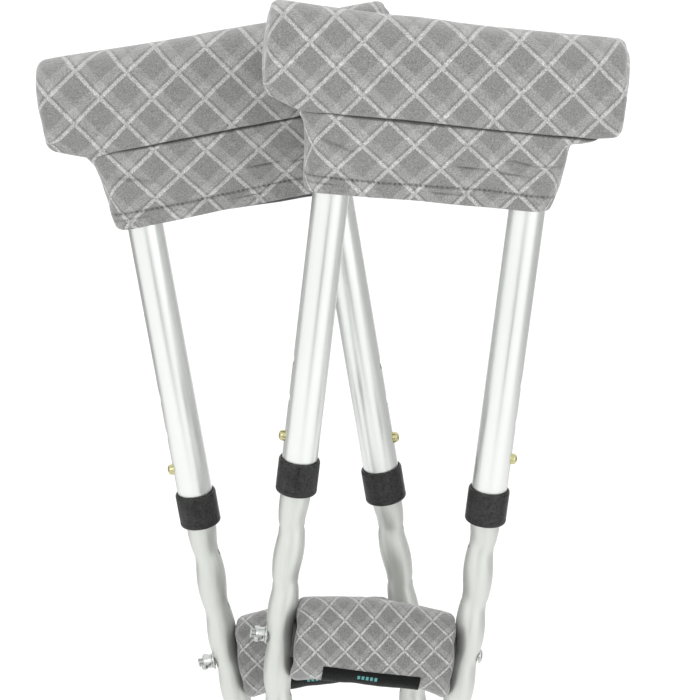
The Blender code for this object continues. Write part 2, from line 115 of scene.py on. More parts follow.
RIVET_HOLE_R = 0.0034
TIP_BOTTOM = -0.820
TIP_HEIGHT = 0.048
TIP_FLOOR = 0.011
TIP_WASHER_THICKNESS = 0.0015
CORE_R = 0.013
CORE_HALF = 0.0512

# Looks of the tubes: how soft a waist is, how far a bulge reaches from it, and how much lower it
# lies on the bow's outer side
WAIST_SOFTNESS = 0.0045
BULGE_REACH = WAVE_PITCH / 2 - 0.0035
WAIST_SLANT = 0.0044

# From where to where a hole is cut, measured from its tube's middle line
THROUGH_TUBE = (-0.014, 0.014)
THROUGH_WALL = (0.006, 0.014)

# How far each collar has crept up its tube
COLLAR_CREEP = {
    ("front", "left"): 0.0028, ("front", "right"): -0.0040,
    ("rear", "left"): 0.0, ("rear", "right"): -0.0018,
}

# Plaid: the diamonds' width and height, how steeply the cloth is looked down on, and where one
# crossing lies, across and up
COVER_DIAMOND = {"front": 0.0312, "rear": 0.0317}
GRIP_DIAMOND = 0.0184
COVER_TILT = radians(17.5)
GRIP_TILT = radians(25.5)
COVER_CROSSING = {"front": (-0.0252, 0.3634), "rear": (-0.1108, 0.3692)}
GRIP_CROSSING = {"front": (-0.0371, 0.0141), "rear": (-0.0270, 0.0150)}
STEEP = 0.45  # the least share of the cloth's length that its pattern keeps where it slopes away

# Underarm cover: the roll
ROLL_HALF = 0.1078
ROLL_HALF_Y = 0.0276
ROLL_HALF_Z = 0.0270
ROLL_MIDDLE_Z = 0.386
ROLL_END_R = 0.0055
ROLL_END_CROWN = 0.0022
ROLL_WIDER = {"front": 0.0, "rear": 0.022}
SEEDS = {"front": Vector((3.1, 7.7, 1.3)), "rear": Vector((6.2, 15.4, 2.6))}
CREASE_Y = -0.0243
# The darkest painted shade in the crease between roll and skirt, which also caps the skirt's painted
# shade
PAINTED_CREASE_SHADE = 0.85

# The front half of the roll's section, from the middle of its underside: (y, z)
ROLL_FRONT = (
    (0.0, 0.3572), (-0.0120, 0.3568), (-0.0205, 0.3566), (-0.0245, 0.3568), (-0.0262, 0.3577),
    (-0.0270, 0.3600), (-0.0276, 0.3660), (-0.0278, 0.3760), (-0.0272, 0.3870), (-0.0250, 0.3970),
    (-0.0196, 0.4058), (-0.0100, 0.4108), (0.0, 0.4122),
)

# How the lower front edge of the roll rises or hangs along its length: (x, rise)
ROLL_HANG = (
    (-0.1078, 0.0084), (-0.1050, 0.0076), (-0.0980, 0.0046), (-0.0910, 0.0020), (-0.0840, -0.0006),
    (-0.0760, -0.0012), (-0.0680, 0.0), (0.0900, 0.0), (0.0975, 0.0010), (0.1030, 0.0020),
    (0.1060, 0.0026), (0.1078, 0.0036),
)

# How the sewn cloth has settled on each crutch: (height, its slope across, its lift)
SETTLE = {
    "front": ((0.304, 0.020, 0.0), (0.356, 0.008, 0.0), (0.412, -0.006, -0.0003)),
    "rear": ((0.304, 0.052, 0.0056), (0.356, 0.044, 0.0062), (0.412, 0.026, 0.0052)),
}

# Underarm cover: the skirt
SKIRT_TOP = 0.362
SKIRT_BOTTOM = 0.3042
SKIRT_HALF_X = 0.0775
SKIRT_HALF_Y = 0.0225
SKIRT_CORNER_R = 0.0085
SEAM_Z = 0.3150
STITCH_PITCH = 0.0032
HEM_FOLD_Z = 0.3108

# The skirt's left and right edges: (height, how far to the left, how far to the right)
SKIRT_EDGES = (
    (0.3042, 0.0750, 0.0716), (0.3060, 0.0765, 0.0728), (0.3100, 0.0775, 0.0740),
    (0.3160, 0.0782, 0.0754), (0.3220, 0.0780, 0.0763), (0.3300, 0.0786, 0.0769),
    (0.3400, 0.0798, 0.0776), (0.3475, 0.0815, 0.0782), (0.3500, 0.0826, 0.0790),
    (0.3518, 0.0838, 0.0815), (0.3532, 0.0848, 0.0890), (0.3545, 0.0856, 0.0932),
    (0.3558, 0.0856, 0.0952), (0.3575, 0.0850, 0.0950), (0.3620, 0.0800, 0.0780),
)

# The cloth that is turned in at the skirt's lower edge: (height above it, inset)
SKIRT_HEM = (
    (0.0008, 0.0001), (0.0003, 0.0004), (0.0, 0.0011), (0.0002, 0.0019), (0.0009, 0.0025),
    (0.0030, 0.0028), (0.0080, 0.0028),
)

# Soft folds in the skirt's front: (from x, z; to x, z; depth, half width)
WRINKLES = (
    (0.010, 0.3300, 0.034, 0.3296, 0.0015, 0.0014),
    (0.036, 0.3288, 0.057, 0.3274, 0.0013, 0.0012),
    (0.044, 0.3378, 0.062, 0.3348, 0.0012, 0.0014),
    (0.060, 0.3350, 0.078, 0.3366, 0.0010, 0.0013),
    (-0.070, 0.3405, -0.046, 0.3330, 0.0008, 0.0020),
)

# The foam inside the skirt
PAD_HALF_X = 0.0772
PAD_HALF_Y = 0.0185
PAD_POCKET = (0.28, 0.39)  # where the tubes' holes in it start and end
PAD_LEVELS = (
    (0.3700, 0.0030), (0.3110, 0.0030), (0.3092, 0.0038), (0.3082, 0.0056), (0.3078, 0.0090),
)

# Hand grip
GRIP_HALF = 0.0492
GRIP_EDGE_R = 0.0045
GRIP_PATTERN_R = 0.0270  # of the circle that its pattern is measured round
GRIP_GATHER = 0.0140  # how far the cover is drawn in at its ends
GRIP_FOAM_R = 0.0200
GRIP_FOAM_HALF = 0.0455
LABEL_HALF = 0.0305
LABEL_ANGLES = (-57, -12.5)  # degrees above the front, of its lower edge and of its upper one
LABEL_SLANT = 1.2  # degrees, from its middle to its end

# The grip cover's radius in front, and along its length on top and underneath: (x, radius)
GRIP_FRONT = 0.0278
GRIP_TOP = (
    (-0.0492, 0.0252), (-0.0390, 0.0270), (-0.0240, 0.0288), (-0.0100, 0.0297), (0.0050, 0.0294),
    (0.0240, 0.0280), (0.0400, 0.0261), (0.0492, 0.0240),
)
GRIP_UNDER = (
    (-0.0492, 0.0268), (-0.0440, 0.0262), (-0.0350, 0.0242), (0.0330, 0.0240), (0.0400, 0.0262),
    (0.0492, 0.0298),
)


class Crutch:
    """One crutch's name, its lean, and the matrix from its own frame to the world."""

    def __init__(self, name, frame, materials):
        slide = next(j for j in frame["joints"] if j["name"] == name + "_height_slide")
        up = Vector(slide["axis"])
        low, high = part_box(name + "_grip_core")
        self.name = name
        self.materials = materials
        self.lean = atan2(up.x, up.z)
        self.origin = (low + high) / 2
        self.matrix = Matrix.Translation(self.origin) @ Matrix.Rotation(self.lean, 4, "Y")


# ---- meshes

def object_of(name, data):
    made = bpy.data.objects.new(name, data)
    bpy.context.scene.collection.objects.link(made)
    return made


def mesh_of(points, faces, uvs=None):
    mesh = bpy.data.meshes.new("piece")
    mesh.from_pydata([tuple(point) for point in points], [], faces)
    if uvs:
        layer = mesh.uv_layers.new(name="Weave")
        layer.data.foreach_set("uv", [value for uv in uvs for value in uv])
    mesh.update()
    return mesh


def turned(profile, towards=UP, sides=SIDES):
    """(points, faces) of a closed outline of (radius, height) turned about the axis `towards`."""
    turn = Vector(UP).rotation_difference(Vector(towards)).to_matrix()
    points, rings = [], []
    for radius, height in profile:
        if radius < 1e-7:
            rings.append([len(points)] * sides)
            points.append(turn @ Vector((0, 0, height)))
            continue
        rings.append(list(range(len(points), len(points) + sides)))
        for step in range(sides):
            angle = tau * step / sides
            points.append(turn @ Vector((radius * cos(angle), radius * sin(angle), height)))
    faces = []
    for lower, upper in zip(rings, rings[1:] + rings[:1]):
        if lower[0] == lower[1] and upper[0] == upper[1]:
            continue
        for step in range(sides):
            after = (step + 1) % sides
            face = list(dict.fromkeys((lower[step], lower[after], upper[after], upper[step])))
            if len(face) > 2:
                faces.append(face)
    return points, faces


def rounded(profile, radius, steps=3):
    """The same closed outline with each corner that is wide enough rounded off."""
    result = []
    for index, point in enumerate(profile):
        here = Vector(point)
        before, after = Vector(profile[index - 1]), Vector(profile[(index + 1) % len(profile)])
        back, forward = before - here, after - here
        reach = min(radius, back.length * 0.45, forward.length * 0.45)
        start = here + back.normalized() * reach
        end = here + forward.normalized() * reach
        for step in range(steps + 1):
            t = step / steps
            result.append(tuple((1 - t) ** 2 * start + 2 * t * (1 - t) * here + t * t * end))
    return result


def dome(radius, base, height, steps=9, power=1.0):
    """The outline of a round head, from its edge to its tip on the axis."""
    angles = [radians(90 * index / steps) for index in range(steps)]
    outline = [(radius * cos(a) ** power, base + height * sin(a)) for a in angles]
    return outline + [(0, base + height)]


def shape_object(points, faces, at=(0, 0, 0)):
    """A solid body with its normals outwards, moved by `at`."""
    shape = bmesh.new()
    corners = [shape.verts.new(point) for point in points]
    for face in faces:
        shape.faces.new([corners[index] for index in face])
    bmesh.ops.recalc_face_normals(shape, faces=shape.faces)
    mesh = bpy.data.meshes.new("shape")
    shape.to_mesh(mesh)
    shape.free()
    mesh.transform(Matrix.Translation(at))
    return object_of("shape", mesh)


def lathe(profile, towards=UP, sides=SIDES, at=(0, 0, 0)):
    """An object turned from a closed outline, with the outline's origin at the given place."""
    return shape_object(*turned(profile, towards, sides), at)


def joined(shapes):
    """Several (points, faces) as one."""
    points, faces = [], []
    for more_points, more_faces in shapes:
        first = len(points)
        points += more_points
        faces += [[first + index for index in face] for face in more_faces]
    return points, faces


def drill(piece, places, radius, reach, towards, sides=32):
    """Cuts a round hole at each place, from reach[0] to reach[1] along `towards`."""
    profile = ((0, reach[0]), (radius, reach[0]), (radius, reach[1]), (0, reach[1]))
    points, faces = turned(profile, towards, sides)
    bars = [([Vector(place) + point for point in points], faces) for place in places]
    tool = shape_object(*joined(bars))
    modifier = piece.modifiers.new("cut", "BOOLEAN")
    modifier.operation = "DIFFERENCE"
    modifier.object = tool
    graph = bpy.context.evaluated_depsgraph_get()
    mesh = bpy.data.meshes.new_from_object(
        piece.evaluated_get(graph), preserve_all_data_layers=True, depsgraph=graph
    )
    piece.modifiers.clear()
    piece.data = mesh
    bpy.data.objects.remove(tool)


def finish_piece(piece, name, crutch, body, finish, replaces=None, shift=0.0):
    """Puts a mesh that was made in its crutch's frame into the world, on its body."""
    mesh = piece.data
    piece.name = mesh.name = f"{crutch.name}_{name}"
    local = mesh.attributes.new("local", "FLOAT_VECTOR", "POINT")
    flat = [value for corner in mesh.vertices for value in corner.co]
    local.data.foreach_set("vector", flat)
    mesh.transform(crutch.matrix @ Matrix.Translation((0, 0, shift)))
    mesh.materials.clear()
    mesh.materials.append(crutch.materials[finish])
    mesh.shade_smooth()
    mesh.set_sharp_from_angle(angle=SHARP_ANGLE)
    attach(piece, f"{crutch.name}_{body}")
    if replaces:
        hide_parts(f"{crutch.name}_{replaces}")


def smooth_step(low, high, value):
    t = min(max((value - low) / (high - low), 0.0), 1.0)
    return t * t * (3 - 2 * t)


def bump(value, middle, half):
    """A soft bump of height 1 at the middle, which is 0 from half away."""
    t = abs(value - middle) / half
    return 0.0 if t >= 1 else (1 - t * t) ** 2


def between(table, value):
    """The rest of a table's row at this value of its first column, with straight lines between."""
    if value <= table[0][0]:
        return table[0][1:]
    for before, after in zip(table, table[1:]):
        if value <= after[0]:
            t = (value - before[0]) / (after[0] - before[0])
            return tuple(a + (b - a) * t for a, b in zip(before[1:], after[1:]))
    return table[-1][1:]


def evenly(path, steps):
    """Evenly spaced points along a closed path, whose last point is its first one again."""
    lengths = [0.0]
    for before, after in zip(path, path[1:]):
        lengths.append(lengths[-1] + (after - before).length)
    result, index = [], 0
    for step in range(steps):
        wanted = lengths[-1] * step / steps
        while lengths[index + 1] < wanted:
            index += 1
        span = lengths[index + 1] - lengths[index] or 1.0
        result.append(path[index].lerp(path[index + 1], (wanted - lengths[index]) / span))
    return result


def spline(outline, steps):
    """Evenly spaced points along a closed Catmull-Rom curve through an outline's points."""
    points = [Vector((x, y, 0)) for x, y in outline]
    dense = []
    for index in range(len(points)):
        a, b, c, d = (points[(index + k) % len(points)] for k in (-1, 0, 1, 2))
        for t in [k / 24 for k in range(24)]:
            dense.append(
                0.5 * (2 * b + (c - a) * t + (2 * a - 5 * b + 4 * c - d) * t**2
                       + (3 * b - a - 3 * c + d) * t**3)
            )
    return [(point.x, point.y) for point in evenly(dense + dense[:1], steps)]


# ---- materials

def node(tree, kind, values=None, **settings):
    """Adds a shader node. A value that is a socket is linked, and any other is set."""
    added = tree.nodes.new("ShaderNode" + kind)
    for name, setting in settings.items():
        setattr(added, name, setting)
    for socket, value in (values or {}).items():
        if isinstance(value, bpy.types.NodeSocket):
            tree.links.new(value, added.inputs[socket])
        else:
            added.inputs[socket].default_value = value
    return added


def new_material(name, **values):
    material = bpy.data.materials.new(name)
    material.use_nodes = True
    tree = material.node_tree
    shader = tree.nodes["Principled BSDF"]
    for socket, value in values.items():
        shader.inputs[socket.replace("_", " ")].default_value = value
    return material, tree, shader


def local_place(tree, scale=(1, 1, 1)):
    """The place in the crutch's frame, which stays with the piece and doesn't turn with its lean."""
    place = node(tree, "Attribute", attribute_name="local").outputs["Vector"]
    return node(tree, "Mapping", {"Vector": place, "Scale": scale}).outputs["Vector"]


def object_place(tree):
    return node(tree, "TexCoord").outputs["Object"]


def weave_place(tree):
    """(the cloth's own map, its X and Y)"""
    weave = node(tree, "UVMap", uv_map="Weave").outputs["UV"]
    return weave, node(tree, "SeparateXYZ", {"Vector": weave}).outputs


def noise_at(tree, vector, scale=1.0, detail=3.0, roughness=0.55):
    values = {"Vector": vector, "Scale": scale, "Detail": detail, "Roughness": roughness}
    return node(tree, "TexNoise", values).outputs["Fac"]


def spread_over(tree, value, low, high, from_low=0.3, from_high=0.7):
    values = {0: value, 1: from_low, 2: from_high, 3: low, 4: high}
    return node(tree, "MapRange", values).outputs[0]


def math_node(tree, operation, first, second=0.0):
    return node(tree, "Math", {0: first, 1: second}, operation=operation).outputs[0]


def product(tree, first, *others):
    for other in others:
        first = math_node(tree, "MULTIPLY", first, other)
    return first


def within(tree, value, middle, half):
    """1 where the value is less than half away from the middle, and 0 elsewhere."""
    away = math_node(tree, "ABSOLUTE", math_node(tree, "SUBTRACT", value, middle))
    return math_node(tree, "LESS_THAN", away, half)


def mixed_colour(tree, factor, first, second, blend="MIX"):
    """A mix of two colours, each of which is a socket or three numbers."""
    mix = node(tree, "Mix", {"Factor": factor}, data_type="RGBA", blend_type=blend)
    sockets = [socket for socket in mix.inputs if socket.type == "RGBA"]
    for socket, value in zip(sockets, (first, second)):
        if isinstance(value, bpy.types.NodeSocket):
            tree.links.new(value, socket)
        else:
            socket.default_value = (*value, 1)
    return next(socket for socket in mix.outputs if socket.type == "RGBA")


def paint(tree, shader, colour, shade):
    """Gives the shader a colour times a grey shade."""
    scaled = mixed_colour(tree, 1.0, colour, shade, "MULTIPLY")
    tree.links.new(scaled, shader.inputs["Base Color"])


def add_gloss(tree, shader, value, roughness):
    tree.links.new(spread_over(tree, value, *roughness), shader.inputs["Roughness"])


def add_bump(tree, shader, height, strength, distance):
    values = {"Height": height, "Strength": strength, "Distance": distance}
    bumped = node(tree, "Bump", values)
    tree.links.new(bumped.outputs["Normal"], shader.inputs["Normal"])


def metal(name, colour, roughness, streaks, scale, metallic=1.0, bump_distance=0.00002):
    """Drawn metal: fine streaks along the tube in its gloss and its surface, and a faint mottle."""
    material, tree, shader = new_material(name, Metallic=metallic)
    streak = noise_at(tree, local_place(tree, scale), detail=4.0)
    mottle = noise_at(tree, local_place(tree, (40, 40, 14)), detail=2.0)
    streaked = spread_over(tree, streak, -streaks, 0.0)
    paint(tree, shader, colour, math_node(tree, "ADD", streaked, spread_over(tree, mottle, 0.97, 1.0)))
    add_gloss(tree, shader, streak, roughness)
    add_bump(tree, shader, streak, 0.5, bump_distance)
    return material


def plastic(name, colour, roughness, grain=900, bump_distance=0.00006, speckle=0.12, shine=0.5):
    """Moulded plastic or rubber: a fine spark-eroded grain and a slight mottle."""
    material, tree, shader = new_material(name, Specular_IOR_Level=shine)
    place = local_place(tree)
    fine = noise_at(tree, place, grain, 2.0)
    mottle = noise_at(tree, place, 90, 3.0)
    mottled = spread_over(tree, mottle, 1 - speckle / 2, 1 + speckle / 2)
    speckled = spread_over(tree, fine, 1 - speckle, 1 + speckle)
    paint(tree, shader, colour, product(tree, mottled, speckled))
    add_gloss(tree, shader, mottle, roughness)
    add_bump(tree, shader, fine, 0.5, bump_distance)
    return material


def hidden_finish(name, colour, roughness, metallic, grain):
    """For CAD pieces that keep their own mesh, which has no place in the crutch's frame stored."""
    material, tree, shader = new_material(name, Metallic=metallic)
    speckle = noise_at(tree, object_place(tree), grain, 3.0)
    paint(tree, shader, colour, spread_over(tree, speckle, 0.85, 1.0))
    add_gloss(tree, shader, speckle, roughness)
    add_bump(tree, shader, speckle, 0.4, 0.00008)
    return material


def ramp(tree, factor, stops):
    made = node(tree, "ValToRGB", {"Fac": factor})
    elements = made.color_ramp.elements
    elements[0].position, elements[1].position = stops[0][0], stops[-1][0]
    for position, _ in stops[1:-1]:
        elements.new(position)
    for element, (_, value) in zip(elements, stops):
        element.color = (value, value, value, 1)
    return made.outputs["Color"]


def plaid_fleece(name, ground, line_value, band_value, faint):
    """Grey fleece with pale printed lines and, above each line, a lighter band."""
    material, tree, shader = new_material(
        name, Roughness=0.9, Sheen_Weight=0.5, Sheen_Roughness=0.45, Specular_IOR_Level=0.15
    )
    line_stops = ((0.0, line_value), (0.076, line_value), (0.098, 0.0), (0.982, 0.0), (1.0, line_value))
    band_stops = (
        (0.0, 0.0), (0.145, 0.0), (0.160, band_value), (0.37, band_value), (0.41, faint),
        (0.97, faint), (1.0, 0.0),
    )
    place = local_place(tree)
    _, axes = weave_place(tree)
    wander = math_node(tree, "SUBTRACT", noise_at(tree, place, 900, 1.0), 0.5)
    wander = product(tree, wander, 0.028)
    lines, bands = [], []
    for axis in ("X", "Y"):
        share = math_node(tree, "FRACT", math_node(tree, "ADD", axes[axis], wander))
        lines.append(ramp(tree, share, line_stops))
        bands.append(ramp(tree, share, band_stops))
    pile = noise_at(tree, place, 1300, 1.5, 0.7)
    clumps = noise_at(tree, place, 260, 3.0, 0.6)
    # The crease attribute holds painted shade, which darkens the cloth's colour in creases, folds,
    # seams and gathered ends
    crease = node(tree, "Attribute", attribute_name="crease").outputs["Fac"]
    line = product(tree, math_node(tree, "MAXIMUM", *lines), spread_over(tree, pile, 0.72, 1.18))
    pattern = math_node(tree, "ADD", line, math_node(tree, "ADD", *bands))
    light = product(
        tree, math_node(tree, "ADD", pattern, ground), spread_over(tree, pile, 0.66, 1.34),
        spread_over(tree, clumps, 0.94, 1.06), math_node(tree, "SUBTRACT", 1.0, crease),
    )
    paint(tree, shader, (1.0, 1.0, 0.982), light)
    height = math_node(tree, "ADD", pile, product(tree, clumps, 1.5))
    add_bump(tree, shader, height, 0.6, 0.0008)
    return material


def foam_material():
    material, tree, shader = new_material("foam", Roughness=0.95, Sheen_Weight=0.2)
    values = {"Vector": local_place(tree), "Scale": 900.0}
    cells = node(tree, "TexVoronoi", values).outputs["Distance"]
    paint(tree, shader, (0.075, 0.075, 0.078), spread_over(tree, cells, 0.45, 1.0, 0.1, 0.6))
    add_bump(tree, shader, cells, 0.7, 0.0006)
    return material


def label_material():
    """Black satin ribbon with a plain row of woven dashes. Its map runs 0 to 1 both ways."""
    material, tree, shader = new_material("satin_label", Roughness=0.5, Specular_IOR_Level=0.06)
    start, pitch, count = 0.36, 0.044, 5
    weave, axes = weave_place(tree)
    along = product(tree, math_node(tree, "SUBTRACT", axes["X"], start), 1 / pitch)
    dash = math_node(tree, "LESS_THAN", math_node(tree, "FRACT", along), 0.62)
    row = product(tree, within(tree, along, count / 2, count / 2), within(tree, axes["Y"], 0.68, 0.11))
    colour = mixed_colour(
        tree, product(tree, row, dash), (0.004, 0.0045, 0.0045), (0.10, 0.33, 0.32)
    )
    values = {"Vector": weave, "Scale": 30.0, "Distortion": 0.6, "Detail": 1.0}
    threads = node(tree, "TexWave", values, bands_direction="Y").outputs["Fac"]
    paint(tree, shader, colour, spread_over(tree, threads, 0.75, 1.15, 0.0, 1.0))
    add_bump(tree, shader, threads, 0.3, 0.00008)
    return material


def make_materials():
    return {
        "satin": metal(
            "satin_aluminium_fine", (0.79, 0.81, 0.79), (0.31, 0.38), 0.02, (1200, 1200, 7),
            bump_distance=0.000005,
        ),
        "leg_satin": metal(
            "satin_leg_fine", (0.60, 0.605, 0.60), (0.25, 0.35), 0.04, (1000, 1000, 7),
            bump_distance=0.00001,
        ),
        "matte": metal(
            "matte_aluminium_fine", (0.635, 0.655, 0.62), (0.40, 0.50), 0.05, (700, 700, 30),
            metallic=0.78, bump_distance=0.00005,
        ),
        "black": plastic(
            "black_plastic_fine", (0.020, 0.021, 0.020), (0.24, 0.42), 750, 0.0003, 0.6, 0.24
        ),
        "brass": metal("brass_fine", (0.56, 0.53, 0.29), (0.16, 0.26), 0.10, (300, 300, 300)),
        "steel": metal("zinc_fine", (0.58, 0.60, 0.58), (0.20, 0.34), 0.20, (260, 260, 260)),
        "core": plastic("grey_plastic_fine", (0.035, 0.035, 0.036), (0.5, 0.65)),
        "rubber": plastic(
            "grey_rubber_fine", (0.075, 0.076, 0.08), (0.72, 0.9), 700, 0.00015, 0.25
        ),
        "fleece": plaid_fleece("plaid_fleece", 0.187, 0.205, 0.071, 0.015),
        "grip_cloth": plaid_fleece("plaid_fleece_small", 0.142, 0.225, 0.070, 0.020),
        "foam": foam_material(),
        "label": label_material(),
    }


def finish_hidden_nodes(frame):
    """Gives each CAD piece that stays a procedural material in its own slots."""
    finishes = {
        "saddle_screw": hidden_finish("screw_steel", (0.55, 0.55, 0.56), (0.25, 0.4), 1.0, 900),
        "spring": hidden_finish("spring_steel", (0.42, 0.43, 0.45), (0.3, 0.45), 1.0, 700),
        "tip_washer": hidden_finish("washer_steel", (0.5, 0.5, 0.5), (0.35, 0.5), 1.0, 500),
        "saddle_yoke": hidden_finish("yoke_plastic", (0.12, 0.12, 0.12), (0.45, 0.6), 0.0, 600),
    }
    for name, found in frame["nodes"].items():
        for word, material in finishes.items():
            if word in name:
                for index in range(len(found.material_slots)):
                    found.material_slots[index].material = material


# ---- tubes and fittings

def bow_offset(z):
    """How far a bow's middle line is from the crutch's middle line."""
    t = min(max((BEND_TOP - z) / (BEND_TOP - BEND_END), 0), 1)
    lowest = INNER_R + OUTER_R + GAP
    return SPREAD - (SPREAD - lowest) * t**3 * (10 - 15 * t + 6 * t**2)


def bow_radius(z):
    """Long convex bulges that meet in short soft waists."""
    if abs(z) > WAVE_END:
        return INNER_R
    from_waist = abs(z / WAVE_PITCH - round(z / WAVE_PITCH)) * WAVE_PITCH
    softened = hypot(from_waist, WAIST_SOFTNESS) - WAIST_SOFTNESS
    return INNER_R - (INNER_R - WAIST_R) * max(1 - softened / BULGE_REACH, 0.0) ** 2


def slant_waists(points, side):
    """Pinched waists sit a little lower on the bow's outer side than on its inner side."""
    for point in points:
        radius = hypot(point.x, point.y)
        in_the_bore = radius < WAIST_R - 0.0001
        if in_the_bore or abs(point.z) > 2.6 * WAVE_PITCH:
            continue
        outer = side * point.x / radius
        scale = bow_radius(point.z + WAIST_SLANT * outer) / bow_radius(point.z)
        point.x *= scale
        point.y *= scale
    return points


def bend_along_bow(points, side):
    step = 0.001
    bent = []
    for point in points:
        z = point.z
        lean = atan2(side * (bow_offset(z + step) - bow_offset(z - step)), 2 * step)
        x = side * bow_offset(z) + point.x * cos(lean)
        bent.append(Vector((x, point.y, z - point.x * sin(lean))))
    return bent


def add_bow(crutch, word, side):
    """A waved tube with chamfered ends and a bore that widens above its uppermost waist."""
    chamfer_r, chamfer = INNER_R - 0.0004, 0.0006
    rings_per_waist, bend_rings, bore_rings = 30, 44, 30
    wave_rings = len(WAISTS) * rings_per_waist + 1
    heights = [BOW_TOP - chamfer]
    heights += [WAVE_END - k * WAVE_PITCH / rings_per_waist for k in range(wave_rings)]
    heights += [-WAVE_END + (BOW_END + WAVE_END) * k / bend_rings for k in range(1, bend_rings)]
    heights += [BOW_END + chamfer]
    outside = [(bow_radius(z), z) for z in heights]
    narrow, wide = WAIST_R - WALL, INNER_R - WALL
    inside = [
        (narrow, BOW_END + (BEND_TOP - BOW_END) * k / bore_rings) for k in range(bore_rings + 1)
    ]
    inside += [(narrow, WAVE_END - 0.008), (wide, WAVE_END), (wide, BOW_TOP)]
    profile = [(chamfer_r, BOW_TOP)] + outside + [(chamfer_r, BOW_END)] + inside
    points, faces = turned(profile)
    bow = shape_object(bend_along_bow(slant_waists(points, side), side), faces)
    waists = [(side * bow_offset(k * WAVE_PITCH), 0, k * WAVE_PITCH) for k in WAISTS]
    rivets = [(side * bow_offset(z), 0, z) for z in RIVET_HEIGHTS]
    drill(bow, waists, BOLT_HOLE_R, THROUGH_TUBE, RIGHT)
    drill(bow, rivets, RIVET_HOLE_R, THROUGH_TUBE, RIGHT)
    drill(bow, [(side * SPREAD, 0, BUTTON_Z)], BUTTON_HOLE_R, THROUGH_WALL, (side, 0, 0))
    finish_piece(bow, f"waved_tube_{word}", crutch, "frame", "matte", f"bow_{word}")


def pipe(outer_r, inner_r, top, bottom):
    """The outline of a tube with square ends."""
    return [(outer_r, top), (outer_r, bottom), (inner_r, bottom), (inner_r, top)]


def add_upper_tube(crutch, word, side):
    outline = pipe(OUTER_R, BORE_R, UPPER_TUBE_TOP, COLLAR_BOTTOM + COLLAR_LIP + GAP)
    tube = lathe(rounded(outline, 0.0004, 2), sides=FINE_SIDES, at=(side * SPREAD, 0, 0))
    holes = [(side * SPREAD, 0, BUTTON_Z + index * HOLE_PITCH) for index in range(3)]
    drill(tube, holes, BUTTON_HOLE_R, THROUGH_WALL, (side, 0, 0))
    finish_piece(tube, f"sleeve_tube_{word}", crutch, "underarm", "satin", f"upper_tube_{word}")


def collar_profile(lip):
    """A moulded ring with a rounded foot, a parting line and a chamfered mouth."""
    top, fillet = COLLAR_LENGTH, 0.0018
    foot = [
        (COLLAR_R - fillet + fillet * sin(a), fillet - fillet * cos(a))
        for a in [radians(10 * k) for k in range(10)]
    ]
    line_z, line_r = 0.0034, COLLAR_R - 0.00022
    line = [
        (COLLAR_R, line_z - 0.0004), (line_r, line_z - 0.00015), (line_r, line_z + 0.00015),
        (COLLAR_R, line_z + 0.0004),
    ]
    mouth = [
        (COLLAR_R, top - 0.0016), (COLLAR_R - 0.0001, top - 0.0009), (COLLAR_R - 0.0004, top - 0.0003),
        (COLLAR_R - 0.0008, top), (OUTER_R + GAP + 0.0002, top), (OUTER_R + GAP, top - 0.0003),
    ]
    seat = [(OUTER_R + GAP, lip), (BORE_R, lip), (BORE_R, 0.0004), (BORE_R + 0.0004, 0)]
    return foot + line + mouth + seat


def add_collar(crutch, name, body, at, replaces, lip=COLLAR_LIP):
    collar = lathe(collar_profile(lip), sides=FINE_SIDES, at=at)
    finish_piece(collar, name, crutch, body, "black", replaces)


def add_button(crutch, name, body, at, towards, replaces, shift=0.0):
    base = [(0, 0.0052), (0.0042, 0.0052), (0.0042, 0.0062), (0.0034, 0.0062)]
    profile = base + dome(0.0034, 0.0121, 0.0025, 12, 0.8)
    button = lathe(profile, towards, SMALL_SIDES, at)
    finish_piece(button, name, crutch, body, "brass", replaces, shift)


def add_grip_bolt(crutch):
    """A low domed head, a plain shank, a rolled thread at the nut's end, and the washer there."""
    thread_start, pitch, tip = -0.0560, 0.0010, 0.0006
    thread = []
    for index in range(int((thread_start - BOLT_END - tip) / pitch)):
        z = BOLT_END + tip + index * pitch
        thread += [(0.00295, z + 0.0001), (0.00295, z + 0.0003)]
        thread += [(0.0025, z + 0.0006), (0.0025, z + 0.0008)]
    profile = [(0, BOLT_END), (0.0024, BOLT_END)] + thread
    profile += [(0.003, thread_start + 0.0004), (0.003, BOLT_SEAT), (0.0045, BOLT_SEAT)]
    profile += dome(0.0046, BOLT_SEAT + 0.0003, 0.0020, power=0.7)
    bolt = lathe(profile, RIGHT, SMALL_SIDES)
    finish_piece(bolt, "grip_screw", crutch, "frame", "steel", "grip_bolt")
    outline = pipe(0.0055, 0.0035, WASHER_THICKNESS, 0)
    washer = lathe(rounded(outline, 0.0003, 2), LEFT, SMALL_SIDES, (-BOLT_SEAT, 0, 0))
    finish_piece(washer, "flat_washer", crutch, "frame", "steel", "bolt_washer")


